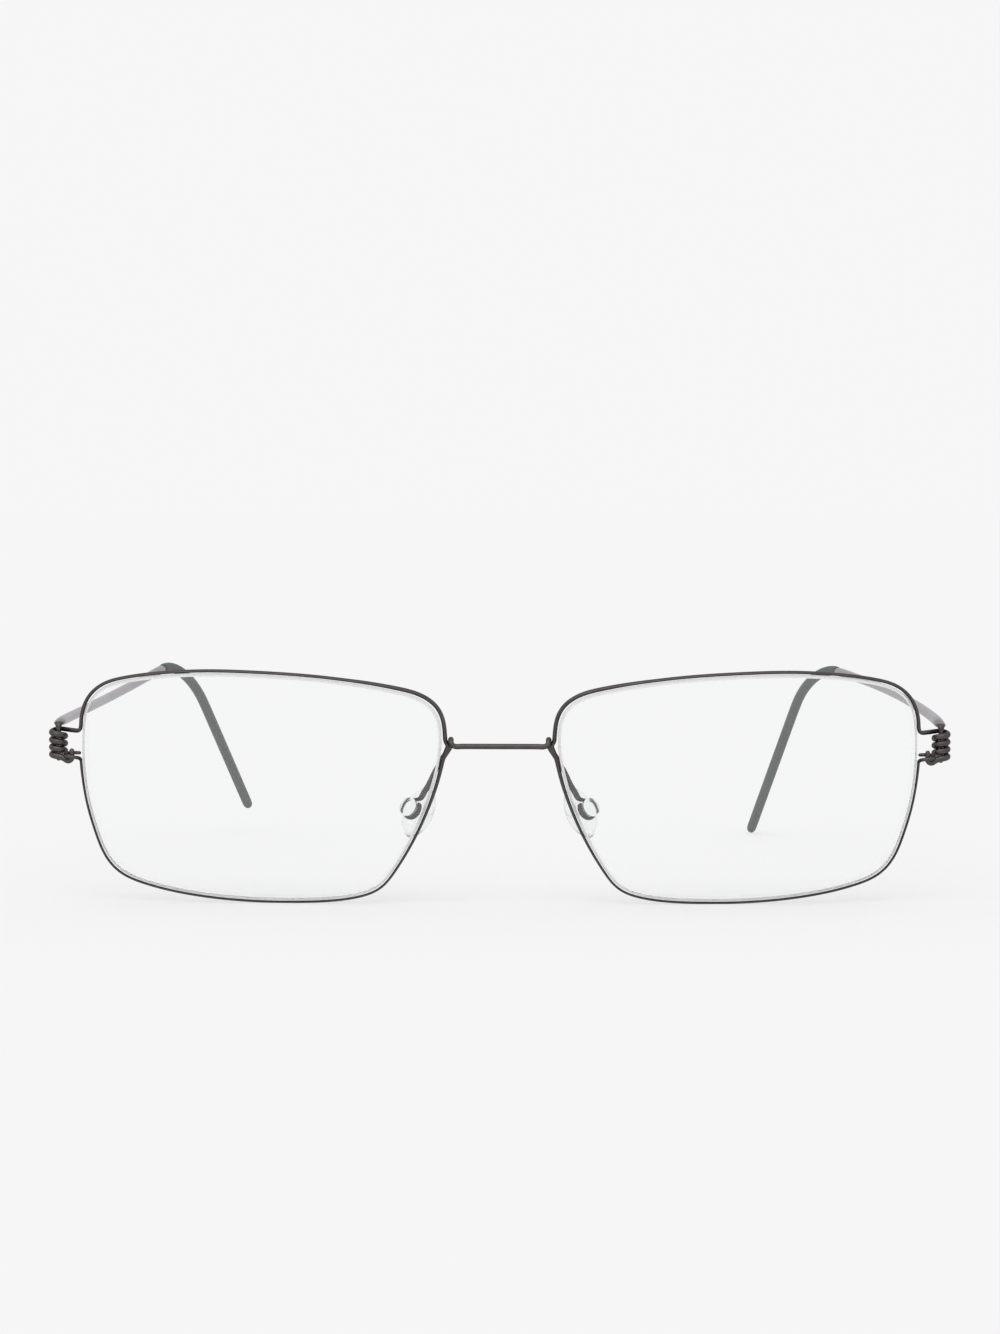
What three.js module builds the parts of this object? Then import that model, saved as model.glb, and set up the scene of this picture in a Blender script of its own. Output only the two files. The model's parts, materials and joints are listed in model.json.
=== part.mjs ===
// Wire-frame eyeglasses with wound-wire hinges, standing open on a table.
// Millimetres. +X is the wearer's left, +Y runs back towards the ears, +Z is up.
// The origin is under the middle of the frame, on the surface that it stands on.
// Inside this file heights are taken from the lens centres, and depths from the lens fronts.

import * as THREE from 'three';

const vec = (x, y, z) => new THREE.Vector3(x, y, z);
const radians = THREE.MathUtils.degToRad;
const X_WAY = vec(1, 0, 0);
const Z_WAY = vec(0, 0, 1);

// Lenses
const LENS_WIDTH = 55.15;
const LENS_HEIGHT = 35;
const LENS_THICKNESS = 1.6;
const LENS_BASE_RADIUS = 132;
const LENS_BEVEL = 0.4;
const BETWEEN_LENSES = 18;
const FRONT_TILT = radians(7);
const FRONT_WRAP = radians(4);
const LENS_RINGS = [0.35, 0.7];
const LENS_EDGE_POINTS = 64;

// Rim wire: a ribbon round the lens, round wire at the hinge
const LENS_CLEARANCE = 0.1;
const CLOSURE_BELOW = 3.5;
const CLOSURE_ABOVE = 2.4;
const RIBBON_STEP = 1.6;
const KINK_STEP = 0.3;
const KINK_REACH = 0.45;
const KINK_HALF_HEIGHT = 1;
const KINK_WIRE = 0.72;
const COIL_WIRE = 1;
const LEAD_WIRE = 0.7;
const HAIRPIN_WIRE = 0.53;
const WIRE_SIDES = 8;

// Hinge: the coil turns round the temple's pin, with a thin liner between
const HINGE_OUT = 3.8;
const HINGE_BACK = 1.6;
const HINGE_TOP = 8.57;
const PIN_RADIUS = 0.37;
const PIN_RUNNING_GAP = 0.03;
const LINER_WALL = 0.07;
const LINER_GAP = 0.05;
const LINER_INSIDE_COIL = 0.15;
const COIL_TURN_GAP = 0.12;
const COIL_TURNS = 3.55;
const COIL_STEPS_PER_TURN = 14;
const LEAD_LIFT = 0.23;
const EYE_OFF_COIL = 0.68;
const EYE_FORWARD = 1.72;
const EYE_HALF_WIDTH = 0.75;
const EYE_ABOVE_COIL_END = 0.356;
const TAIL_DIP = 1;
const TAIL_BEAD_RISE = 1;
const TAIL_STEPS = 14;
const LEAD_STEPS = 13;
const HAIRPIN_STEPS = 20;

// The hairpin round the eye, from its blunt end: outwards, backwards in half widths, and up.
const HAIRPIN_WAY = [
  [-1.1, 1, 0.25], [0.25, 1, 0.27], [0.8, 0.7, 0.18], [1.02, 0, 0], [0.8, -0.7, -0.18],
  [0.25, -1, -0.27], [-0.75, -0.9, -0.38],
];

// The lead as shares of its way outwards and back from the ribbon to the coil, and its rise.
const LEAD_WAY = [[0.07, 0.12, -0.1], [0.32, 0.42, -0.2], [0.7, 0.88, -0.12]];

// Bridge wire, with the loops, arms and rings that it ends in
const BRIDGE_WIRE = 0.86;
const BRIDGE_HEIGHT = 6.67;
const LOOP_GAP = 0.06;
const LOOP_OFF_KINK = 0.45;
const LOOP_HEAD = 0.16;
const BRIDGE_STATIONS = [4, 2, 0];
const ARM_STEPS = 44;
const RING_STEPS = 21;
const ARM_THICK = 0.36;
const ARM_WIDE = 1;

// The pad arm as shares of its way inwards, forwards and up from the ring to the bridge's loop.
const ARM_WAY = [
  [0.18, 0.22, 0.045], [0.29, 0.355, 0.175], [0.45, 0.5, 0.35], [0.62, 0.675, 0.59], [0.8, 0.84, 0.8],
];

// Nose pads
const PAD_OUT = 13.45;
const PAD_BACK = 7.2;
const PAD_DROP = 3.3;
const PAD_TURN = radians(46);
const PAD_LEAN = radians(25);
const PAD_WIDTH = 6.6;
const PAD_HEIGHT = 8.4;
const PAD_THICKNESS = 2;
const PAD_FLAT = 1.2;
const NECK_RADIUS = 1.2;
const NECK_GAP = 0.12;
const BUTTON_RADIUS = 1.47;
const BUTTON_THICKNESS = 1.3;
const PAD_SIDES = 20;
const RING_END_GAP = radians(55);

// Temples
const SHAFT_WIDE = 1.8;
const SHAFT_TALL = 1.5;
const SHAFT_HEIGHT = 9.75;
const SHAFT_REACH = 81;
const SHAFT_BOW = 9;
const LEFT_TEMPLE = { rise: 4.15, riseCurve: 1, tipLift: 0 };
const RIGHT_TEMPLE = { rise: 4.3, riseCurve: 2.5, tipLift: 4.2 };
const SHAFT_STATIONS = [0.05, 0.12, 0.2, 0.3, 0.4, 0.5, 0.6, 0.7, 0.8, 0.9, 0.96];
const ELBOW_TALL = 0.74;
const PIN_BELOW_COIL = 0.34;
const BEND_BACK = 17;
const BEND_IN = 6;
const BEND_DROP = 7;
const BEND_HANDLE = 7;
const TIP_BACK = 20.5;
const TIP_IN = 6.4;

// The elbow from the pin's top to the shaft: back, down from the shaft's middle, and the width
// and height as shares of the shaft's width and the elbow's height.
const ELBOW_WAY = [
  [0, 0.75, 0.41, 1], [0.1, 0.33, 0.6, 1.1], [0.45, 0.13, 0.84, 1], [1.05, 0.12, 1, 1], [2.2, 0.07, 1, 1.2],
];

// Temple tip sleeves
const SLEEVE_RADIUS = 0.86;
const SLEEVE_CORE_RADIUS = 0.5;
const SLEEVE_GAP = 0.06;
const SLEEVE_END = 1.2;
const SHOULDER_GAP = 0.1;
const SHOULDER_LENGTH = 0.05;
const BEND_STEPS = 9;
const DROP_STATIONS = [0.25, 0.5, 0.75];

// The lens shape as fractions of its half width (nose side negative) and half height,
// from the open side of the rim, down and round by the nose.
const LENS_SHAPE = [
  [0.997, 0.40], [0.98, -0.055], [0.933, -0.37], [0.861, -0.66], [0.78, -0.79], [0.6, -0.89],
  [0.28, -0.972], [-0.14, -1], [-0.5, -0.965], [-0.65, -0.885], [-0.75, -0.685], [-0.88, -0.3],
  [-0.968, 0.1], [-1, 0.45], [-0.972, 0.67], [-0.89, 0.785], [-0.7, 0.873], [-0.37, 0.955],
  [0, 0.995], [0.35, 0.996], [0.69, 0.938], [0.88, 0.85], [0.965, 0.71],
];

// How the rim wire is rolled along its way round the lens: way, thickness, depth.
const RIM_SECTIONS = [
  [0, 0.5, 0.5], [0.05, 0.3, 0.6], [0.4, 0.3, 0.65], [0.5, 0.42, 0.8], [0.56, 0.66, 0.8],
  [0.64, 0.6, 1], [0.7, 0.42, 1.1], [0.9, 0.44, 1.1], [0.95, 0.5, 0.95], [1, 0.62, 0.8],
];

// ---- Closed solids from rings ----

// One closed skin through rings of equal length, each running clockwise seen from the ring
// before it looking on, with a single point closing each end.
function closedSkin(firstPoint, rings, lastPoint) {
  const sides = rings[0].length;
  const points = [firstPoint, ...rings.flat(), lastPoint];
  const last = points.length - 1;
  const at = (ring, side) => 1 + ring * sides + (side % sides);
  const faces = [];
  for (let side = 0; side < sides; side++) {
    faces.push(0, at(0, side + 1), at(0, side));
    for (let ring = 0; ring < rings.length - 1; ring++) {
      faces.push(at(ring, side), at(ring, side + 1), at(ring + 1, side + 1));
      faces.push(at(ring, side), at(ring + 1, side + 1), at(ring + 1, side));
    }
    faces.push(last, at(rings.length - 1, side), at(rings.length - 1, side + 1));
  }
  const geometry = new THREE.BufferGeometry().setFromPoints(points);
  geometry.setIndex(faces);
  geometry.computeVertexNormals();
  return geometry;
}

const station = (centre, thick, deep, way) => ({ centre, thick, deep, way });

const squareTo = (way, along) => way.clone().addScaledVector(along, -way.dot(along)).normalize();

// Turns the depth directions of a round stretch evenly, so that it meets the ribbon after it.
function easeTwist(deeps, alongs, first, last) {
  const arrived = squareTo(deeps[last], alongs[last + 1]);
  const wanted = deeps[last + 1];
  const turnWay = vec(0, 0, 0).crossVectors(arrived, wanted).dot(alongs[last + 1]);
  const twist = arrived.angleTo(wanted) * Math.sign(turnWay);
  for (let i = first; i <= last; i++) {
    deeps[i].applyAxisAngle(alongs[i], (twist * (i - first + 1)) / (last - first + 2));
  }
}

// The direction of travel, the depth direction and the thickness direction at each station.
// A ribbon's depth direction is given. Round wire has none, and carries on from what is next to it.
function wireFrames(stations) {
  const alongs = stations.map((here, i) => {
    const before = stations[Math.max(i - 1, 0)].centre;
    const after = stations[Math.min(i + 1, stations.length - 1)].centre;
    return after.clone().sub(before).normalize();
  });
  const deeps = stations.map((here, i) => (here.way ? squareTo(here.way, alongs[i]) : null));
  for (let i = deeps.findIndex((deep) => deep) - 1; i >= 0; i--) {
    deeps[i] = squareTo(deeps[i + 1], alongs[i]);
  }
  let runStart = -1;
  for (let i = 1; i < stations.length; i++) {
    if (!deeps[i]) {
      runStart = runStart < 0 ? i : runStart;
      deeps[i] = squareTo(deeps[i - 1], alongs[i]);
    } else if (runStart > 0) {
      easeTwist(deeps, alongs, runStart, i - 1);
      runStart = -1;
    }
  }
  return deeps.map((deep, i) => {
    const across = vec(0, 0, 0).crossVectors(alongs[i], deep);
    return { along: alongs[i], deep, across };
  });
}

function ringAt(here, frame, scale, shift) {
  const ring = [];
  for (let side = 0; side < WIRE_SIDES; side++) {
    const angle = (2 * Math.PI * (side + 0.5)) / WIRE_SIDES;
    const point = here.centre.clone().addScaledVector(frame.along, shift);
    point.addScaledVector(frame.deep, (Math.cos(angle) * here.deep * scale) / 2);
    point.addScaledVector(frame.across, (Math.sin(angle) * here.thick * scale) / 2);
    ring.push(point);
  }
  return ring;
}

// Drawn wire through the stations, with both ends rounded off.
function wireGeometry(stations) {
  const frames = wireFrames(stations);
  const rings = stations.map((here, i) => ringAt(here, frames[i], 1, 0));
  const endOf = (i, side) => {
    const radius = Math.min(stations[i].thick, stations[i].deep) / 2;
    const shoulder = ringAt(stations[i], frames[i], Math.SQRT1_2, side * radius * Math.SQRT1_2);
    const point = stations[i].centre.clone().addScaledVector(frames[i].along, side * radius);
    return { shoulder, point };
  };
  const first = endOf(0, -1);
  const last = endOf(stations.length - 1, 1);
  return closedSkin(first.point, [first.shoulder, ...rings, last.shoulder], last.point);
}

// Evenly spaced points on one smooth curve through a few chosen points.
const smoothRun = (points, steps) => new THREE.CatmullRomCurve3(points).getSpacedPoints(steps);

const blendWay = (from, to, amount) => from.clone().lerp(to, amount).normalize();

// ---- The lens shape and where it stands ----

const lensOutline = new THREE.CatmullRomCurve3(
  LENS_SHAPE.map(([x, z]) => vec((x * LENS_WIDTH) / 2, 0, (z * LENS_HEIGHT) / 2)), true, 'centripetal');
lensOutline.arcLengthDivisions = 800;
const LENS_PERIMETER = lensOutline.getLength();
const LENS_CENTRE_X = BETWEEN_LENSES / 2 + (LENS_WIDTH / 2) * Math.cos(FRONT_WRAP);

// The lens's own frame: tilted so that its lower edge goes back, and wrapped round the face.
const lensPlace = new THREE.Matrix4().makeTranslation(LENS_CENTRE_X, 0, 0)
  .multiply(new THREE.Matrix4().makeRotationX(FRONT_TILT))
  .multiply(new THREE.Matrix4().makeRotationZ(FRONT_WRAP));
const LENS_AXIS = vec(0, 1, 0).transformDirection(lensPlace);

// A point of the lens outline, moved outwards in the lens plane.
function outlineAt(along, outward) {
  const share = THREE.MathUtils.euclideanModulo(along / LENS_PERIMETER, 1);
  const tangent = lensOutline.getTangentAt(share);
  return lensOutline.getPointAt(share).add(vec(-tangent.z * outward, 0, tangent.x * outward));
}

// A point of the lens plane carried back onto the curved lens, and behind its front.
function onLens(point, behind) {
  const sag = LENS_BASE_RADIUS - Math.sqrt(LENS_BASE_RADIUS ** 2 - point.x ** 2 - point.z ** 2);
  return vec(point.x, sag + behind, point.z).applyMatrix4(lensPlace);
}

// How far round the outline the nose side reaches a height.
function nasalAlong(height) {
  const tries = Array.from({ length: 200 }, (_, i) => LENS_PERIMETER * (0.5 + 0.0006 * i));
  const miss = (along) => Math.abs(onLens(outlineAt(along, 0), LENS_THICKNESS / 2).z - height);
  return tries.reduce((best, along) => (miss(along) < miss(best) ? along : best));
}

function lensGeometry() {
  const rim = (inset, behind) => Array.from({ length: LENS_EDGE_POINTS }, (_, i) =>
    onLens(outlineAt((i * LENS_PERIMETER) / LENS_EDGE_POINTS, -inset), behind));
  const face = (share, behind) => Array.from({ length: LENS_EDGE_POINTS }, (_, i) =>
    onLens(outlineAt((i * LENS_PERIMETER) / LENS_EDGE_POINTS, 0).multiplyScalar(share), behind));
  const front = LENS_RINGS.map((share) => face(share, 0));
  const back = LENS_RINGS.map((share) => face(share, LENS_THICKNESS)).reverse();
  const edge = [rim(LENS_BEVEL, 0), rim(0, LENS_THICKNESS / 2), rim(LENS_BEVEL, LENS_THICKNESS)];
  const rings = [...front, ...edge, ...back];
  return closedSkin(onLens(vec(0, 0, 0), 0), rings, onLens(vec(0, 0, 0), LENS_THICKNESS));
}

// ---- Hinge place ----

const temporalEdge = onLens(outlineAt(0, 0), LENS_THICKNESS / 2);
const HINGE = vec(temporalEdge.x + HINGE_OUT, temporalEdge.y + HINGE_BACK, HINGE_TOP);
const LINER_INNER = PIN_RADIUS + PIN_RUNNING_GAP;
const LINER_OUTER = LINER_INNER + LINER_WALL;
const COIL_RADIUS = LINER_OUTER + LINER_GAP + COIL_WIRE / 2;
const COIL_PITCH = COIL_WIRE + COIL_TURN_GAP;
const COIL_BOTTOM = HINGE.z - COIL_PITCH * COIL_TURNS;

// ---- Rim wires ----

// Thickness and depth of the rolled ribbon at a share of the way round.
function rimSection(share) {
  const next = Math.max(1, RIM_SECTIONS.findIndex(([way]) => way >= share));
  const [wayA, thickA, deepA] = RIM_SECTIONS[next - 1];
  const [wayB, thickB, deepB] = RIM_SECTIONS[next];
  const part = (share - wayA) / (wayB - wayA);
  return [THREE.MathUtils.lerp(thickA, thickB, part), THREE.MathUtils.lerp(deepA, deepB, part)];
}

const KINK_ALONG = nasalAlong(BRIDGE_HEIGHT);

// The ribbon round the lens: it kinks towards the nose where the bridge hooks on.
function ribbonStations() {
  const stations = [];
  let along = CLOSURE_BELOW;
  while (along < LENS_PERIMETER - CLOSURE_ABOVE) {
    const fromKink = Math.abs(along - KINK_ALONG) / KINK_HALF_HEIGHT;
    const kink = fromKink < 1 ? 0.5 + 0.5 * Math.cos(Math.PI * fromKink) : 0;
    const [rolledThick, rolledDeep] = rimSection(along / LENS_PERIMETER);
    const thick = THREE.MathUtils.lerp(rolledThick, KINK_WIRE, kink);
    const deep = THREE.MathUtils.lerp(rolledDeep, KINK_WIRE, kink);
    const outward = LENS_CLEARANCE + thick / 2 + KINK_REACH * kink;
    const centre = onLens(outlineAt(along, outward), LENS_THICKNESS / 2);
    stations.push(station(centre, thick, deep, LENS_AXIS));
    along += fromKink < 1.3 ? KINK_STEP : RIBBON_STEP;
  }
  return stations;
}

const EYE = vec(
  HINGE.x - COIL_RADIUS - COIL_WIRE / 2 - EYE_OFF_COIL, HINGE.y - EYE_FORWARD,
  COIL_BOTTOM + EYE_ABOVE_COIL_END);

// The eye at the lower end: the wire doubles back on itself beside the coil.
function hairpinStations(ribbon) {
  const turn = HAIRPIN_WAY.map(([out, back, up]) => EYE.clone().add(vec(out, back * EYE_HALF_WIDTH, up)));
  const points = [...turn, ribbon[0].centre, ribbon[1].centre];
  return smoothRun(points, HAIRPIN_STEPS).slice(0, HAIRPIN_STEPS - 3).map((centre) =>
    station(centre, HAIRPIN_WIRE, HAIRPIN_WIRE, null));
}

// A place on the coil: turns are counted from the back of the pin, winding outwards and down.
function coilPoint(turns) {
  const angle = 2 * Math.PI * turns;
  const lift = LEAD_LIFT * (1 - THREE.MathUtils.smoothstep(turns, 0, 0.3));
  return HINGE.clone().add(
    vec(COIL_RADIUS * Math.sin(angle), COIL_RADIUS * Math.cos(angle), lift - COIL_PITCH * turns));
}

// The lead runs out from the top of the ribbon, under the temple, to the back of the pin.
function leadStations(ribbon) {
  const end = ribbon[ribbon.length - 1];
  const start = coilPoint(0);
  const way = LEAD_WAY.map(([out, back, up]) => vec(
    THREE.MathUtils.lerp(end.centre.x, start.x, out), THREE.MathUtils.lerp(end.centre.y, start.y, back),
    start.z + up));
  const points = [ribbon[ribbon.length - 2].centre, end.centre, ...way, start];
  return smoothRun(points, LEAD_STEPS).slice(4, LEAD_STEPS).map((centre, i) => {
    const grown = THREE.MathUtils.clamp((i - 1) / 5, 0, 1);
    const thick = THREE.MathUtils.lerp(end.thick, LEAD_WIRE, grown);
    const deep = THREE.MathUtils.lerp(end.deep, LEAD_WIRE, grown);
    return station(centre, thick, deep, null);
  });
}

// The coil starts as thin as the lead and is at full size on the outer side of the pin.
function coilStations() {
  const steps = Math.round(COIL_TURNS * COIL_STEPS_PER_TURN);
  return Array.from({ length: steps + 1 }, (_, i) => {
    const turns = (i * COIL_TURNS) / steps;
    const size = THREE.MathUtils.lerp(LEAD_WIRE, COIL_WIRE, THREE.MathUtils.smoothstep(turns, 0, 0.25));
    return station(coilPoint(turns), size, size, null);
  });
}

// The coil's tail dips under the hairpin and comes up through its eye.
function tailStations() {
  const wire = 2 * (EYE_HALF_WIDTH - HAIRPIN_WIRE / 2 - LENS_CLEARANCE);
  const start = coilPoint(COIL_TURNS);
  const low = EYE.clone().setZ(EYE.z - TAIL_DIP);
  const points = [
    coilPoint(COIL_TURNS - 0.04),
    start,
    start.clone().lerp(low, 0.32),
    start.clone().lerp(low, 0.7).setZ(low.z),
    low.clone().lerp(EYE, 0.35),
    EYE,
    EYE.clone().setZ(EYE.z + TAIL_BEAD_RISE - wire / 2),
  ];
  return smoothRun(points, TAIL_STEPS).slice(2).map((centre, i) => {
    const size = THREE.MathUtils.lerp(COIL_WIRE, wire, Math.min(1, i / 6));
    return station(centre, size, size, null);
  });
}

function rimStations() {
  const ribbon = ribbonStations();
  const hairpin = hairpinStations(ribbon);
  return [...hairpin, ...ribbon, ...leadStations(ribbon), ...coilStations(), ...tailStations()];
}

// The liner is a thin tube between the pin and the coil.
function linerGeometry() {
  const top = HINGE.z - COIL_PITCH + COIL_WIRE / 2 - LINER_INSIDE_COIL;
  const bottom = COIL_BOTTOM + LINER_INSIDE_COIL;
  const profile = [
    new THREE.Vector2(LINER_INNER, bottom), new THREE.Vector2(LINER_OUTER, bottom),
    new THREE.Vector2(LINER_OUTER, top), new THREE.Vector2(LINER_INNER, top),
    new THREE.Vector2(LINER_INNER, bottom),
  ];
  return new THREE.LatheGeometry(profile, 16).rotateX(Math.PI / 2).translate(HINGE.x, HINGE.y, 0);
}

// ---- Nose pads and the wire that carries them ----

// The pad's own directions: its axis points from the nose to the button, out and forward.
const padAxis = vec(Math.sin(PAD_TURN) * Math.cos(PAD_LEAN), -Math.cos(PAD_TURN) * Math.cos(PAD_LEAN),
  Math.sin(PAD_LEAN));
const padUp = Z_WAY.clone().addScaledVector(padAxis, -padAxis.z).normalize();
const padAcross = vec(0, 0, 0).crossVectors(padUp, padAxis);
const RING_CENTRE = vec(PAD_OUT, PAD_BACK, -PAD_DROP);
const RING_RADIUS = NECK_RADIUS + NECK_GAP + ARM_THICK / 2;

const padPoint = (across, up, out) => RING_CENTRE.clone()
  .addScaledVector(padAcross, across).addScaledVector(padUp, up).addScaledVector(padAxis, out);

function padRing(halfAcross, halfUp, out) {
  return Array.from({ length: PAD_SIDES }, (_, i) => {
    const angle = (2 * Math.PI * i) / PAD_SIDES;
    return padPoint(Math.sin(angle) * halfAcross, Math.cos(angle) * halfUp, out);
  });
}

// One soft moulding: a domed button, the neck that the ring holds, and the bearing pad.
function nosePadGeometry() {
  const buttonBack = ARM_WIDE / 2 + NECK_GAP;
  const buttonTop = buttonBack + BUTTON_THICKNESS;
  const padFront = -buttonBack;
  const padBack = padFront - PAD_THICKNESS;
  const across = PAD_WIDTH / 2;
  const up = PAD_HEIGHT / 2;
  const rings = [
    padRing(BUTTON_RADIUS * 0.6, BUTTON_RADIUS * 0.6, buttonTop - 0.22),
    padRing(BUTTON_RADIUS * 0.93, BUTTON_RADIUS * 0.93, buttonTop - 0.65),
    padRing(BUTTON_RADIUS, BUTTON_RADIUS, buttonBack + 0.25),
    padRing(BUTTON_RADIUS * 0.95, BUTTON_RADIUS * 0.95, buttonBack),
    padRing(NECK_RADIUS, NECK_RADIUS, buttonBack),
    padRing(NECK_RADIUS, NECK_RADIUS, padFront),
    padRing(across * 0.8, up * 0.8, padFront - 0.3),
    padRing(across * 0.98, up * 0.98, padFront - 0.75),
    padRing(across * 0.97, up * 0.97, padFront - 1.1),
    padRing(across * 0.75, up * 0.75, padBack + 0.3),
    padRing(PAD_FLAT, PAD_FLAT * 1.25, padBack),
  ];
  return closedSkin(padPoint(0, 0, buttonTop), rings, padPoint(0, 0, padBack));
}

// Where the bridge meets one rim: the rim's kink, and the loop that hooks over it.
const kinkCentre = onLens(outlineAt(KINK_ALONG, LENS_CLEARANCE + KINK_WIRE / 2 + KINK_REACH),
  LENS_THICKNESS / 2);
const LOOP_X = kinkCentre.x - LOOP_OFF_KINK;
const LOOP_HALF_DEPTH = KINK_WIRE / 2 + LOOP_GAP + BRIDGE_WIRE / 2;

// Half of the bridge wire, from the ring's free end to the middle of the bridge.
function halfBridgeStations() {
  const ringTurn = 2 * Math.PI - RING_END_GAP;
  const ring = Array.from({ length: RING_STEPS + 1 }, (_, i) => {
    const angle = Math.PI / 2 - ringTurn * (1 - i / RING_STEPS);
    return padPoint(Math.cos(angle) * RING_RADIUS, Math.sin(angle) * RING_RADIUS, 0);
  });
  const ringTop = ring[RING_STEPS];
  const back = kinkCentre.y + LOOP_HALF_DEPTH;
  const front = kinkCentre.y - LOOP_HALF_DEPTH;
  const top = BRIDGE_HEIGHT + LOOP_HALF_DEPTH + LOOP_HEAD;
  const foot = vec(LOOP_X + 0.75, back + 0.45, BRIDGE_HEIGHT - 1.15);
  const arm = [
    ring[RING_STEPS - 1], ringTop,
    ...ARM_WAY.map(([inward, forward, up]) => vec(THREE.MathUtils.lerp(ringTop.x, foot.x, inward),
      THREE.MathUtils.lerp(ringTop.y, foot.y, forward), THREE.MathUtils.lerp(ringTop.z, foot.z, up))),
    foot,
    vec(LOOP_X + 0.08, back, BRIDGE_HEIGHT),
    vec(LOOP_X, kinkCentre.y + LOOP_HALF_DEPTH * 0.62, top - 0.12),
    vec(LOOP_X, kinkCentre.y, top),
    vec(LOOP_X, kinkCentre.y - LOOP_HALF_DEPTH * 0.75, top - 0.2),
    vec(LOOP_X - 0.1, front - 0.02, BRIDGE_HEIGHT + 0.28),
    vec(LOOP_X - 0.65, front, BRIDGE_HEIGHT - 0.02),
    vec(LOOP_X - 1.6, front, BRIDGE_HEIGHT),
  ];
  const run = smoothRun(arm, ARM_STEPS).slice(3);
  const straight = BRIDGE_STATIONS.map((x) => vec(x, front, BRIDGE_HEIGHT));
  const ringStations = ring.map((centre) => station(centre, ARM_THICK, ARM_WIDE, padAxis));
  const armStations = run.map((centre, i) => {
    const grown = THREE.MathUtils.smoothstep(i, 4, 17);
    const thick = THREE.MathUtils.lerp(ARM_THICK, BRIDGE_WIRE, grown);
    const deep = THREE.MathUtils.lerp(ARM_WIDE, BRIDGE_WIRE, grown);
    return station(centre, thick, deep, i < 12 ? blendWay(padAxis, X_WAY, i / 12) : null);
  });
  const bridgeStations = straight.map((centre) => station(centre, BRIDGE_WIRE, BRIDGE_WIRE, null));
  return [...ringStations, ...armStations, ...bridgeStations];
}

const mirrored = (point) => vec(-point.x, point.y, point.z);

function bridgeStations() {
  const half = halfBridgeStations();
  const other = half.slice(0, -1).reverse().map((here) =>
    station(mirrored(here.centre), here.thick, here.deep, here.way && mirrored(here.way)));
  return [...half, ...other];
}

// ---- Temples ----

const TABLE = Math.min(...ribbonStations().map((here) => here.centre.z - here.thick / 2));

// The bent path behind one hinge: a shaft that bows in, a bend, and a straight drop. The two
// temples have been bent a little differently in wear.
function templePath({ rise, riseCurve, tipLift }) {
  const shaft = (share) => vec(HINGE.x - SHAFT_BOW * share ** 2, HINGE.y + SHAFT_REACH * share,
    SHAFT_HEIGHT + rise * share ** riseCurve);
  const bendStart = shaft(1);
  const shaftWay = bendStart.clone().sub(shaft(0.98)).normalize();
  const bendEnd = bendStart.clone().add(vec(-BEND_IN, BEND_BACK, -BEND_DROP));
  const tip = vec(bendEnd.x - TIP_IN, bendEnd.y + TIP_BACK, TABLE + SLEEVE_RADIUS + tipLift);
  const dropWay = tip.clone().sub(bendEnd).normalize();
  const bend = new THREE.CubicBezierCurve3(
    bendStart, bendStart.clone().addScaledVector(shaftWay, BEND_HANDLE),
    bendEnd.clone().addScaledVector(dropWay, -BEND_HANDLE), bendEnd);
  const drop = new THREE.LineCurve3(bendEnd, tip);
  const shares = [...DROP_STATIONS, 1 - SLEEVE_END / drop.getLength()];
  const core = [...bend.getSpacedPoints(BEND_STEPS), ...shares.map((share) => drop.getPointAt(share))];
  return { shaft, core, tip };
}

// The pin, and the elbow that swells into the shaft.
function elbowStations() {
  const pin = 2 * PIN_RADIUS;
  const pinEnd = station(vec(HINGE.x, HINGE.y, COIL_BOTTOM - PIN_BELOW_COIL), pin, pin, X_WAY);
  const elbow = ELBOW_WAY.map(([back, down, wide, tall]) => station(
    vec(HINGE.x, HINGE.y + back, SHAFT_HEIGHT - down), ELBOW_TALL * tall, SHAFT_WIDE * wide, X_WAY));
  return [pinEnd, ...elbow];
}

function templeGeometry(path) {
  const shoulderShare = 1 - (SHOULDER_GAP + SHOULDER_LENGTH) / SHAFT_REACH;
  const neck = path.shaft(1 - SHOULDER_GAP / SHAFT_REACH);
  const full = [...SHAFT_STATIONS, shoulderShare].map((share) =>
    station(path.shaft(share), SHAFT_TALL, SHAFT_WIDE, X_WAY));
  const thinned = [neck, ...path.core].map((centre) =>
    station(centre, 2 * SLEEVE_CORE_RADIUS, 2 * SLEEVE_CORE_RADIUS, X_WAY));
  return wireGeometry([...elbowStations(), ...full, ...thinned]);
}

// A soft tube pushed over the wire's end, closed and rounded at its tip.
function sleeveGeometry(path) {
  const wallStations = [...path.core, path.tip].map((centre) =>
    station(centre, 2 * SLEEVE_RADIUS, 2 * SLEEVE_RADIUS, X_WAY));
  const frames = wireFrames(wallStations);
  const bore = 2 * (SLEEVE_CORE_RADIUS + SLEEVE_GAP);
  const boreRings = path.core.map((centre, i) =>
    ringAt(station(centre, bore, bore, X_WAY), frames[i], 1, 0));
  const wallRings = wallStations.map((here, i) => ringAt(here, frames[i], 1, 0));
  const end = wallStations.length - 1;
  const shoulder = ringAt(wallStations[end], frames[end], Math.SQRT1_2, SLEEVE_RADIUS * Math.SQRT1_2);
  const boreDepth = 2 * SLEEVE_CORE_RADIUS + SLEEVE_GAP;
  const boreEnd = path.core[end - 1].clone().addScaledVector(frames[end].along, boreDepth);
  const tipPoint = path.tip.clone().addScaledVector(frames[end].along, SLEEVE_RADIUS);
  return closedSkin(boreEnd, [...boreRings.reverse(), ...wallRings, shoulder], tipPoint);
}

// ---- Assembly ----

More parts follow.
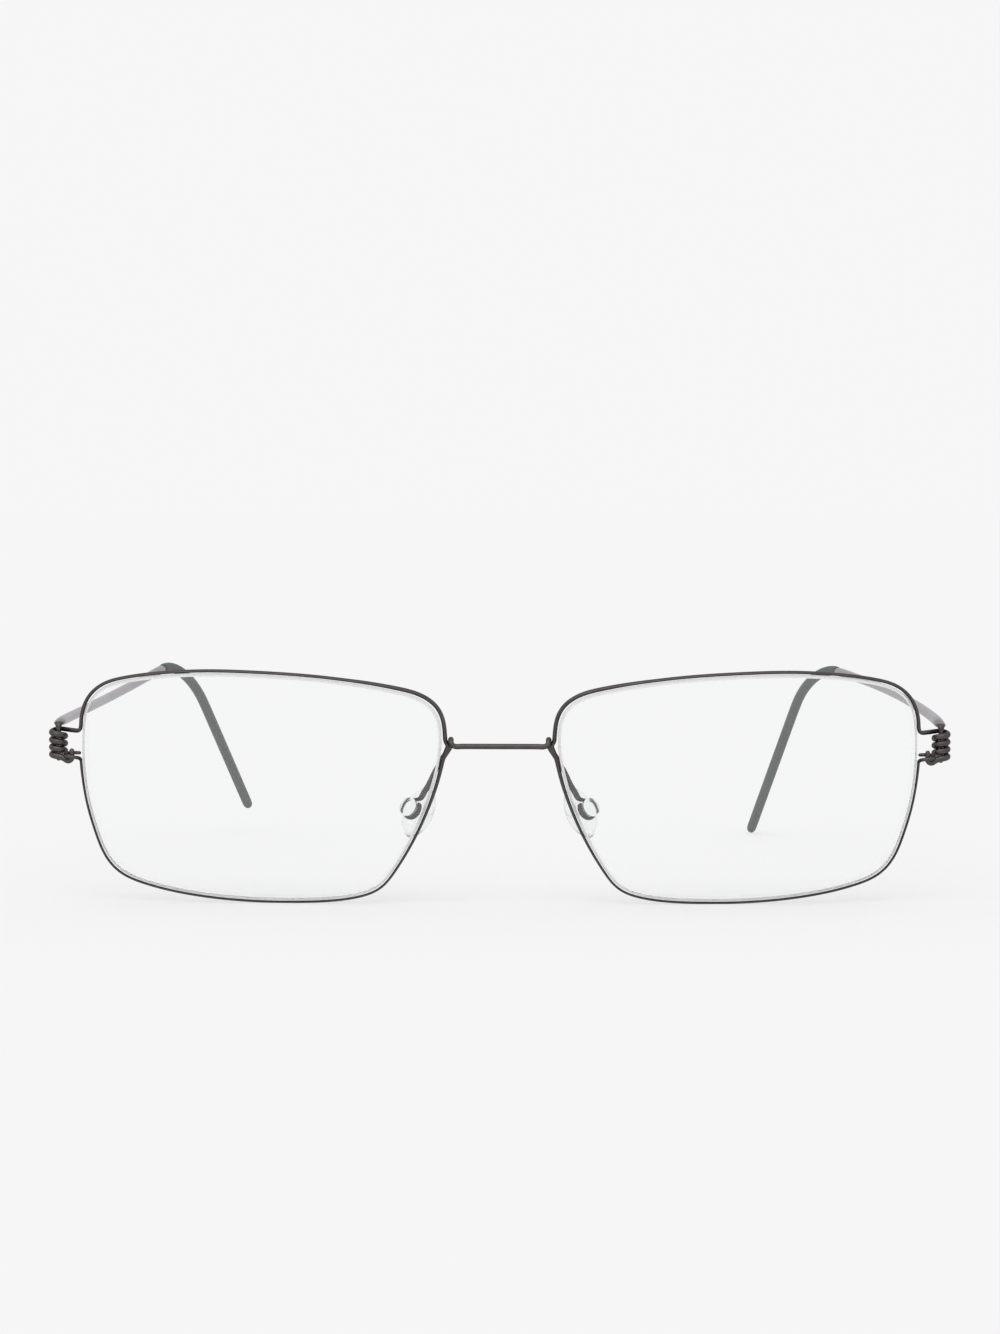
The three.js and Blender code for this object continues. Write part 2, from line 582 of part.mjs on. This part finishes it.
const titanium = () => new THREE.MeshStandardMaterial({ color: 0x3b3735, roughness: 0.42, metalness: 0.9 });
const clearLens = () => new THREE.MeshStandardMaterial({ color: 0xf4f7f6, roughness: 0.03, metalness: 0,
  transparent: true, opacity: 0.3 });
const clearSilicone = () => new THREE.MeshStandardMaterial({ color: 0xe6ebea, roughness: 0.25, metalness: 0,
  transparent: true, opacity: 0.5 });
const linerPlastic = () => new THREE.MeshStandardMaterial({ color: 0xd8d8d4, roughness: 0.5, metalness: 0 });
const greySilicone = () => new THREE.MeshStandardMaterial({ color: 0x5b605e, roughness: 0.6, metalness: 0 });

function named(name, geometry, material) {
  const mesh = new THREE.Mesh(geometry, material);
  mesh.name = name;
  return mesh;
}

// Everything on one side of the face. The right side is placed by mirroring it.
function sidePieces(side, temple) {
  const group = new THREE.Group();
  const path = templePath(temple);
  group.add(named(`${side}_lens`, lensGeometry(), clearLens()));
  group.add(named(`${side}_rim`, wireGeometry(rimStations()), titanium()));
  group.add(named(`${side}_hinge_liner`, linerGeometry(), linerPlastic()));
  group.add(named(`${side}_nose_pad`, nosePadGeometry(), clearSilicone()));
  group.add(named(`${side}_temple`, templeGeometry(path), titanium()));
  group.add(named(`${side}_temple_tip`, sleeveGeometry(path), greySilicone()));
  return group;
}

const eyeglasses = new THREE.Group();
const rightSide = sidePieces('right', RIGHT_TEMPLE);
rightSide.scale.x = -1;
eyeglasses.add(sidePieces('left', LEFT_TEMPLE));
eyeglasses.add(rightSide);
eyeglasses.add(named('bridge_wire', wireGeometry(bridgeStations()), titanium()));

// Move the finished frame so that the origin is at the bottom centre of its box.
const box = new THREE.Box3().setFromObject(eyeglasses, true);
eyeglasses.position.set(0, -(box.min.y + box.max.y) / 2, -box.min.z);

export default eyeglasses;
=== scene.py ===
"""Wire-frame eyeglasses with wound-wire hinges, standing open on a pale table."""

import json
import math

import bpy
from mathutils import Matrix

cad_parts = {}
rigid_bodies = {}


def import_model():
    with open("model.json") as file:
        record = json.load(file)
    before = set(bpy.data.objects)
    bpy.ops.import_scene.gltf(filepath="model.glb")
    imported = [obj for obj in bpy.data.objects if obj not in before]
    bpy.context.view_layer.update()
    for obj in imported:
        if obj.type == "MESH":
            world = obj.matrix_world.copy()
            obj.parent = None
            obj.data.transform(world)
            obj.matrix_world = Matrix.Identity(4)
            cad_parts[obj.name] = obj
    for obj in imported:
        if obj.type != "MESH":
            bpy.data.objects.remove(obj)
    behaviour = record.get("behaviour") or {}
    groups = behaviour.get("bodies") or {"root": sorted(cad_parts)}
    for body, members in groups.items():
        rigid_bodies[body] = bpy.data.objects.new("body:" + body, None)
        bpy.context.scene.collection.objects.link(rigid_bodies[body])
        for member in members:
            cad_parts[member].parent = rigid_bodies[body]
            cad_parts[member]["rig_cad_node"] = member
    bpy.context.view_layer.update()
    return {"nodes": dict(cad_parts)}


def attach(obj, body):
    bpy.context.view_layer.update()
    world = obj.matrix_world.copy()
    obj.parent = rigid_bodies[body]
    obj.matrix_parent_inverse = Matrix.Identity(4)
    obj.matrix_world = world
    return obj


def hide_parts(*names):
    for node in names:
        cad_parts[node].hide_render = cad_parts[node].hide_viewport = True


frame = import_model()
bpy.ops.object.select_all(action="DESELECT")


# ---- Rim wires ----
# Each rim is one length of titanium wire, rolled to a ribbon where it runs round the lens and
# left round where it winds the hinge coil. It is bent on pins, then coated dark by vapour.

SIDES = ("left", "right")
MERGE_WITHIN = 0.000002  # corners nearer than this become one
ROW_PULL = 2.0  # keeps the faces along a wire in even rows
WIRE_PLUMP = 0.000045  # what smoothing takes off the wire's skin
WIRE_ROUNDS = 2
COATING_PATCH = 0.0016
COATING_DARK = (0.065, 0.058, 0.059, 1)
COATING_LIGHT = (0.120, 0.107, 0.107, 1)
COATING_GLINT = (0.70, 0.66, 0.66, 1)
PEENING_MARK = 0.00006
PEENING_DEPTH = 0.00001


class Worked:
    """A value or colour in a material. Arithmetic on it adds the nodes that work it out."""

    def __init__(self, tree, socket=None):
        self.tree = tree
        self.socket = socket

    def node(self, kind, settings, inputs, output=0):
        made = self.tree.nodes.new("ShaderNode" + kind)
        for name, value in settings.items():
            setattr(made, name, value)
        for name, value in inputs.items():
            if isinstance(value, Worked):
                self.tree.links.new(made.inputs[name], value.socket)
            else:
                made.inputs[name].default_value = value
        return Worked(self.tree, made.outputs[output] if made.outputs else None)

    def __add__(self, other):
        return self.node("Math", {"operation": "ADD"}, {0: self, 1: other})

    __radd__ = __add__

    def __mul__(self, other):
        return self.node("Math", {"operation": "MULTIPLY"}, {0: self, 1: other})

    __rmul__ = __mul__

    def between(self, low, high):
        """A colour that goes from low to high as this value goes from 0 to 1."""
        return self.node("Mix", {"data_type": "RGBA"}, {0: self, 6: low, 7: high}, 2)

    def relief(self, strength, depth):
        """Fine dents with this value as their height, depth metres from 0 to 1."""
        return self.node("Bump", {}, {"Height": self, "Strength": strength, "Distance": depth})


def new_finish(name):
    """An empty material and the start of its node expressions."""
    material = bpy.data.materials.new(name)
    material.use_nodes = True
    material.node_tree.nodes.clear()
    return material, Worked(material.node_tree)


def close_finish(start, surface):
    start.node("OutputMaterial", {"is_active_output": True}, {"Surface": surface})


def grain(start, size, stretch=(1, 1, 1)):
    """Noise of a real grain size in metres, drawn out along an axis where stretch is small."""
    place = start.node("TexCoord", {}, {}, "Object")
    drawn = start.node("Mapping", {}, {"Vector": place, "Scale": stretch})
    return start.node("TexNoise", {}, {"Vector": drawn, "Scale": 1 / size, "Detail": 2.0})


def coated_titanium():
    """Dark grey vapour coating with a brown cast: satin, a little uneven, finely peened."""
    material, start = new_finish("dark_titanium")
    patches = grain(start, COATING_PATCH)
    surface = start.node("BsdfPrincipled", {}, {
        "Base Color": patches.between(COATING_DARK, COATING_LIGHT),
        "Metallic": 1.0,
        "Roughness": 0.3 + 0.16 * patches,
        "Normal": grain(start, PEENING_MARK).relief(0.12, PEENING_DEPTH),
        "Specular Tint": COATING_GLINT,
    })
    close_finish(start, surface)
    return material


def take_copy(node, name):
    """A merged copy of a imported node, left in edit mode with all of it selected."""
    bpy.ops.object.select_all(action="DESELECT")
    source = frame["nodes"][node]
    source.select_set(True)
    bpy.context.view_layer.objects.active = source
    bpy.ops.object.duplicate()
    piece = bpy.context.view_layer.objects.active
    piece.name = name
    del piece["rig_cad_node"]
    piece.data.materials.clear()
    bpy.ops.object.mode_set(mode="EDIT")
    bpy.ops.mesh.select_all(action="SELECT")
    bpy.ops.mesh.remove_doubles(threshold=MERGE_WITHIN)
    return piece


def apply_smoothing(piece, rounds):
    bpy.ops.object.mode_set(mode="OBJECT")
    bpy.ops.object.modifier_add(type="SUBSURF")
    rounding = piece.modifiers[-1]
    rounding.levels = rounds
    rounding.render_levels = rounds
    bpy.ops.object.modifier_apply(modifier=rounding.name)


def fit_piece(piece, node, body, material):
    """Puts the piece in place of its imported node, on its body and in its finish."""
    piece.data.materials.append(material)
    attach(piece, body)
    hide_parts(node)


def draw_wire(node, name, plump, rounds):
    """A smooth wire or moulding from a faceted one."""
    piece = take_copy(node, name)
    bpy.ops.mesh.tris_convert_to_quads(
        face_threshold=math.pi, shape_threshold=math.pi, topology_influence=ROW_PULL)
    bpy.ops.transform.shrink_fatten(value=plump)
    apply_smoothing(piece, rounds)
    bpy.ops.mesh.customdata_custom_splitnormals_clear()
    bpy.ops.object.shade_smooth()
    return piece


rim_finish = coated_titanium()
for side in SIDES:
    rim = draw_wire(f"{side}_rim", f"{side}_rim_wire", WIRE_PLUMP, WIRE_ROUNDS)
    fit_piece(rim, f"{side}_rim", "front", rim_finish)


# ---- Bridge wire ----
# One round titanium wire joins the rims: it hooks over each rim's kink and is rolled flat for
# the pad arms, whose ends are bent into open rings. It has the same dark coating.

bridge = draw_wire("bridge_wire", "bridge_round_wire", WIRE_PLUMP, WIRE_ROUNDS)
fit_piece(bridge, "bridge_wire", "front", rim_finish)


# ---- Lenses ----
# Clear cast plastic, curved and 1.6 mm thick, coated against reflections. The edge is ground to
# a shallow V that sits in the rim and is left satin.

LENS_ROUNDS = 3
LENS_COLUMNS = 20
LENS_SURFACE_RADIUS = 0.132
GROUND_ANGLE = math.radians(30)  # a face turned further than this off the axis is ground
LENS_TINT = (0.992, 0.998, 0.996, 1)
LENS_SMEAR = 0.011
WHEEL_MARK = 0.00012
WHEEL_MARK_STRETCH = (1, 0.1, 1)
WHEEL_MARK_DEPTH = 0.00002
GROUND_DARK = (0.80, 0.82, 0.81, 1)
GROUND_LIGHT = (0.90, 0.91, 0.90, 1)


def clear_plastic():
    """Polished plastic, with the faintest unevenness in its gloss."""
    material, start = new_finish("clear_lens")
    surface = start.node("BsdfPrincipled", {}, {
        "Base Color": LENS_TINT,
        "Roughness": 0.012 * grain(start, LENS_SMEAR),
        "IOR": 1.5,
        "Transmission Weight": 1.0,
    })
    close_finish(start, surface)
    return material


def ground_plastic():
    """The satin edge of a lens, with fine marks left by the grinding wheel."""
    material, start = new_finish("ground_edge")
    marks = grain(start, WHEEL_MARK, WHEEL_MARK_STRETCH)
    surface = start.node("BsdfPrincipled", {}, {
        "Base Color": marks.between(GROUND_DARK, GROUND_LIGHT),
        "Roughness": 0.35 + 0.2 * marks,
        "Normal": marks.relief(0.3, WHEEL_MARK_DEPTH),
        "IOR": 1.5,
        "Transmission Weight": 0.8,
    })
    close_finish(start, surface)
    return material


def lens_poles(piece):
    """The middle of the front and of the back, where the most edges of the faceted lens meet."""
    meetings = [0] * len(piece.data.vertices)
    for edge in piece.data.edges:
        for corner in edge.vertices:
            meetings[corner] += 1
    busiest = sorted(piece.data.vertices, key=lambda corner: -meetings[corner.index])[:2]
    return sorted((corner.co.copy() for corner in busiest), key=lambda place: place.y)


def pick_faces(piece, wanted):
    """Leaves the piece in edit mode with only the faces of wanted normals selected."""
    bpy.ops.object.mode_set(mode="EDIT")
    bpy.ops.mesh.select_mode(type="FACE")
    bpy.ops.mesh.select_all(action="DESELECT")
    bpy.ops.object.mode_set(mode="OBJECT")
    for face in piece.data.polygons:
        face.select = wanted(face.normal)
    bpy.ops.object.mode_set(mode="EDIT")


def pick_polished(piece, facing):
    """Selects the polished surface that looks along facing."""
    pick_faces(piece, lambda normal: normal.dot(facing) > math.cos(GROUND_ANGLE))


def lay_grid(piece, facing):
    """Replaces the fan of faces on one side of the lens by an even grid."""
    pick_polished(piece, facing)
    bpy.ops.mesh.delete(type="FACE")
    bpy.ops.mesh.select_mode(type="EDGE")
    bpy.ops.mesh.select_non_manifold(extend=False)
    bpy.ops.mesh.fill_grid(span=LENS_COLUMNS)
    bpy.ops.object.mode_set(mode="OBJECT")


def crease_edges(piece):
    """Keeps the corners between the grids and the ground edge sharp, and turns all faces out."""
    bpy.ops.object.mode_set(mode="EDIT")
    bpy.ops.mesh.select_mode(type="EDGE")
    bpy.ops.mesh.select_all(action="SELECT")
    bpy.ops.mesh.normals_make_consistent(inside=False)
    bpy.ops.mesh.select_all(action="DESELECT")
    bpy.ops.mesh.edges_select_sharp(sharpness=GROUND_ANGLE)
    bpy.ops.transform.edge_crease(value=1.0)


def press_to_sphere(piece, facing, centre):
    """Moves the surface that looks along facing onto a sphere round the centre."""
    pick_polished(piece, facing)
    bpy.ops.object.vertex_group_assign_new()
    bpy.ops.mesh.select_all(action="SELECT")
    bpy.ops.transform.translate(value=-centre)
    bpy.ops.object.mode_set(mode="OBJECT")
    bpy.ops.object.modifier_add(type="CAST")
    press = piece.modifiers[-1]
    press.cast_type = "SPHERE"
    press.factor = 1.0
    press.radius = 0.0
    press.size = LENS_SURFACE_RADIUS
    press.use_radius_as_size = False
    press.vertex_group = piece.vertex_groups[-1].name
    bpy.ops.object.modifier_apply(modifier=press.name)
    bpy.ops.object.mode_set(mode="EDIT")
    bpy.ops.mesh.select_all(action="SELECT")
    bpy.ops.transform.translate(value=centre)
    bpy.ops.object.mode_set(mode="OBJECT")
    bpy.ops.object.vertex_group_remove(all=True)


def mark_ground_edge(piece, axis, material):
    """Gives the band between the two polished surfaces its own finish."""
    piece.data.materials.append(material)
    piece.active_material_index = 1
    pick_faces(piece, lambda normal: abs(normal.dot(axis)) < math.cos(GROUND_ANGLE))
    bpy.ops.object.material_slot_assign()
    bpy.ops.object.mode_set(mode="OBJECT")


lens_finish = clear_plastic()
ground_finish = ground_plastic()
for side in SIDES:
    lens = take_copy(f"{side}_lens", f"{side}_lens_blank")
    bpy.ops.mesh.tris_convert_to_quads(face_threshold=math.pi, shape_threshold=math.pi)
    bpy.ops.object.mode_set(mode="OBJECT")
    front_pole, back_pole = lens_poles(lens)
    thickness = back_pole - front_pole
    axis = thickness.normalized()
    lay_grid(lens, -axis)
    lay_grid(lens, axis)
    crease_edges(lens)
    apply_smoothing(lens, LENS_ROUNDS)
    front_centre = front_pole + axis * LENS_SURFACE_RADIUS
    press_to_sphere(lens, -axis, front_centre)
    press_to_sphere(lens, axis, front_centre + thickness)
    bpy.ops.mesh.customdata_custom_splitnormals_clear()
    bpy.ops.object.shade_smooth_by_angle(angle=GROUND_ANGLE)
    fit_piece(lens, f"{side}_lens", "front", lens_finish)
    mark_ground_edge(lens, axis, ground_finish)


# ---- Nose pads ----
# Soft clear silicone, each pad moulded in one with its neck and round button. The button is
# pushed through the bridge wire's ring, which holds it by the neck.

PAD_PLUMP = 0.00012
PAD_ROUNDS = 2
PAD_TINT = (0.93, 0.96, 0.95, 1)


def clear_silicone():
    """Soft silicone, a little milky and less glossy than the lens."""
    material, start = new_finish("clear_silicone")
    surface = start.node("BsdfPrincipled", {}, {
        "Base Color": PAD_TINT,
        "Roughness": 0.12,
        "IOR": 1.41,
        "Transmission Weight": 1.0,
    })
    close_finish(start, surface)
    return material


pad_finish = clear_silicone()
for side in SIDES:
    pad = draw_wire(f"{side}_nose_pad", f"{side}_pad_moulding", PAD_PLUMP, PAD_ROUNDS)
    fit_piece(pad, f"{side}_nose_pad", f"{side}_pad", pad_finish)


# ---- Hinge liners ----
# A thin plastic tube between the coil and the temple's pin, so that metal never rubs on metal.
# It is pushed into the coil before the pin.

LINER_CLOUD = 0.0004
LINER_DARK = (0.62, 0.62, 0.60, 1)
LINER_LIGHT = (0.74, 0.74, 0.71, 1)


def liner_plastic():
    """Slippery natural plastic, waxy and slightly cloudy."""
    material, start = new_finish("liner_plastic")
    cloud = grain(start, LINER_CLOUD)
    surface = start.node("BsdfPrincipled", {}, {
        "Base Color": cloud.between(LINER_DARK, LINER_LIGHT),
        "Roughness": 0.4 + 0.15 * cloud,
        "IOR": 1.46,
    })
    close_finish(start, surface)
    return material


liner_finish = liner_plastic()
for side in SIDES:
    liner = frame["nodes"][f"{side}_hinge_liner"]
    liner.data.materials.clear()
    liner.data.materials.append(liner_finish)


# ---- Temples ----
# A flattened titanium rod, bent down at the front into the thin pin that turns in the coil. It
# is brushed along its length. Behind the elbow it is painted a lighter grey, a painted reflection
# of the bright surround it mirrors at grazing angles. The pin and its elbow keep the dark coating.

# Where the painted reflection on the rod begins, just behind the hinge.
PAINTED_REFLECTION_STARTS = -0.0542  # just behind the hinge's axis
PAINTED_REFLECTION_FADE = 0.002
ROD_PATCH = 0.003
# Painted reflection: the rod behind the elbow is painted a lighter grey for the bright surround it
# mirrors at grazing angles.
ROD_PAINTED_REFLECTION_DARK = (0.24, 0.225, 0.245, 1)
ROD_PAINTED_REFLECTION_LIGHT = (0.34, 0.32, 0.345, 1)
ELBOW_DARK = (0.055, 0.049, 0.050, 1)
ELBOW_LIGHT = (0.105, 0.094, 0.094, 1)
BRUSH_MARK = 0.00008
BRUSH_STRETCH = (1, 0.02, 1)
BRUSH_DEPTH = 0.00001


def satin_titanium():
    """Brushed rod painted a lighter grey behind the elbow, a painted reflection of the bright
    surround, with the dark coating at its front end.
    """
    material, start = new_finish("satin_titanium")
    patches = grain(start, ROD_PATCH)
    brushing = grain(start, BRUSH_MARK, BRUSH_STRETCH)
    place = start.node("TexCoord", {}, {}, "Object")
    back = start.node("SeparateXYZ", {}, {"Vector": place}, "Y")
    # Painted reflection mask: 0 on the dark-coated pin and elbow, 1 on the rod painted lighter
    # behind them.
    reflection_mask = start.node("MapRange", {}, {
        "Value": back,
        "From Min": PAINTED_REFLECTION_STARTS,
        "From Max": PAINTED_REFLECTION_STARTS + PAINTED_REFLECTION_FADE,
    })
    dark = patches.between(ELBOW_DARK, ELBOW_LIGHT)
    painted_reflection = patches.between(ROD_PAINTED_REFLECTION_DARK, ROD_PAINTED_REFLECTION_LIGHT)
    surface = start.node("BsdfPrincipled", {}, {
        "Base Color": reflection_mask.between(dark, painted_reflection),
        "Metallic": 1.0,
        "Roughness": 0.24 + 0.14 * brushing,
        "Normal": brushing.relief(0.2, BRUSH_DEPTH),
    })
    close_finish(start, surface)
    return material


temple_finish = satin_titanium()
for side in SIDES:
    rod = draw_wire(f"{side}_temple", f"{side}_temple_rod", WIRE_PLUMP, WIRE_ROUNDS)
    fit_piece(rod, f"{side}_temple", f"{side}_arm", temple_finish)


# ---- Temple tips ----
# A grey silicone sleeve pushed over the thinned end of each temple, with a closed round end.
# It is matt, moulded, and soft enough to grip behind the ear.

SLEEVE_PLUMP = 0.00008
SLEEVE_ROUNDS = 2
SLEEVE_CLOUD = 0.004
SLEEVE_DARK = (0.070, 0.081, 0.078, 1)
SLEEVE_LIGHT = (0.088, 0.100, 0.096, 1)
SLEEVE_PIMPLE = 0.00012
SLEEVE_PIMPLE_DEPTH = 0.00002


def grey_silicone():
    """Matt dark grey-green silicone with the fine skin of its mould."""
    material, start = new_finish("grey_silicone")
    cloud = grain(start, SLEEVE_CLOUD)
    surface = start.node("BsdfPrincipled", {}, {
        "Base Color": cloud.between(SLEEVE_DARK, SLEEVE_LIGHT),
        "Roughness": 0.5 + 0.12 * cloud,
        "Normal": grain(start, SLEEVE_PIMPLE).relief(0.3, SLEEVE_PIMPLE_DEPTH),
        "IOR": 1.43,
    })
    close_finish(start, surface)
    return material


sleeve_finish = grey_silicone()
for side in SIDES:
    sleeve = draw_wire(f"{side}_temple_tip", f"{side}_tip_sleeve", SLEEVE_PLUMP, SLEEVE_ROUNDS)
    fit_piece(sleeve, f"{side}_temple_tip", f"{side}_arm", sleeve_finish)


# ---- Table, light and camera ----
# A pale table, lit partly from below through its top, runs out of sight under an even white
# surround with one broad soft lamp above. They are balanced so that the table's edge melts away.

SURROUND = (0.9216, 0.9216, 0.9216, 1)
TABLE_REACH = 6.0
TABLE_SIDES = 128
TABLE_SHADE = 0.8
TABLE_UNEVEN = 0.004
TABLE_SPECKLE = 0.002
TABLE_GLOW = 0.6
LAMP_SPREAD = math.radians(60)
LAMP_TILT = (math.radians(35), math.radians(-12), 0)
CAMERA_PLACE = (0.0, -0.66165, 0.0654)
CAMERA_DIP = math.radians(2.78)
CAMERA_ROLL = math.radians(0.15)
CAMERA_LENS = 107.16
CAMERA_NEAR = 0.01


def pale_table():
    """A white top that glows a little, so that shadows on it stay weak."""
    material, start = new_finish("pale_table")
    dark = (TABLE_SHADE - TABLE_UNEVEN,) * 3 + (1,)
    light = (TABLE_SHADE + TABLE_UNEVEN,) * 3 + (1,)
    top = start.node("BsdfDiffuse", {}, {"Color": grain(start, TABLE_SPECKLE).between(dark, light)})
    glow = start.node("Emission", {}, {"Color": SURROUND, "Strength": 1.0})
    close_finish(start, start.node("MixShader", {}, {0: TABLE_GLOW, 1: top, 2: glow}))
    return material


world = bpy.data.worlds.new("surround")
bpy.context.scene.world = world
world.use_nodes = True
world.node_tree.nodes["Background"].inputs["Color"].default_value = SURROUND

bpy.ops.object.select_all(action="DESELECT")
bpy.ops.mesh.primitive_circle_add(vertices=TABLE_SIDES, radius=TABLE_REACH, fill_type="NGON")
table = bpy.context.object
table.name = "table"
table.data.materials.append(pale_table())

# The lamp gives the table just what the surround alone leaves it short of the surround's white.
lamp_level = (SURROUND[0] / TABLE_SHADE - SURROUND[0]) * math.pi / math.cos(LAMP_TILT[0])
bpy.ops.object.light_add(type="SUN", location=(0, 0, 1), rotation=LAMP_TILT)
lamp = bpy.context.object
lamp.name = "soft_lamp"
lamp.data.energy = lamp_level
lamp.data.angle = LAMP_SPREAD

bpy.ops.object.camera_add(location=CAMERA_PLACE)
camera = bpy.context.object
camera.rotation_mode = "ZYX"
camera.rotation_euler = (math.pi / 2 - CAMERA_DIP, 0, CAMERA_ROLL)
camera.data.lens = CAMERA_LENS
camera.data.clip_start = CAMERA_NEAR
bpy.context.scene.camera = camera
bpy.context.scene.view_settings.view_transform = "Standard"
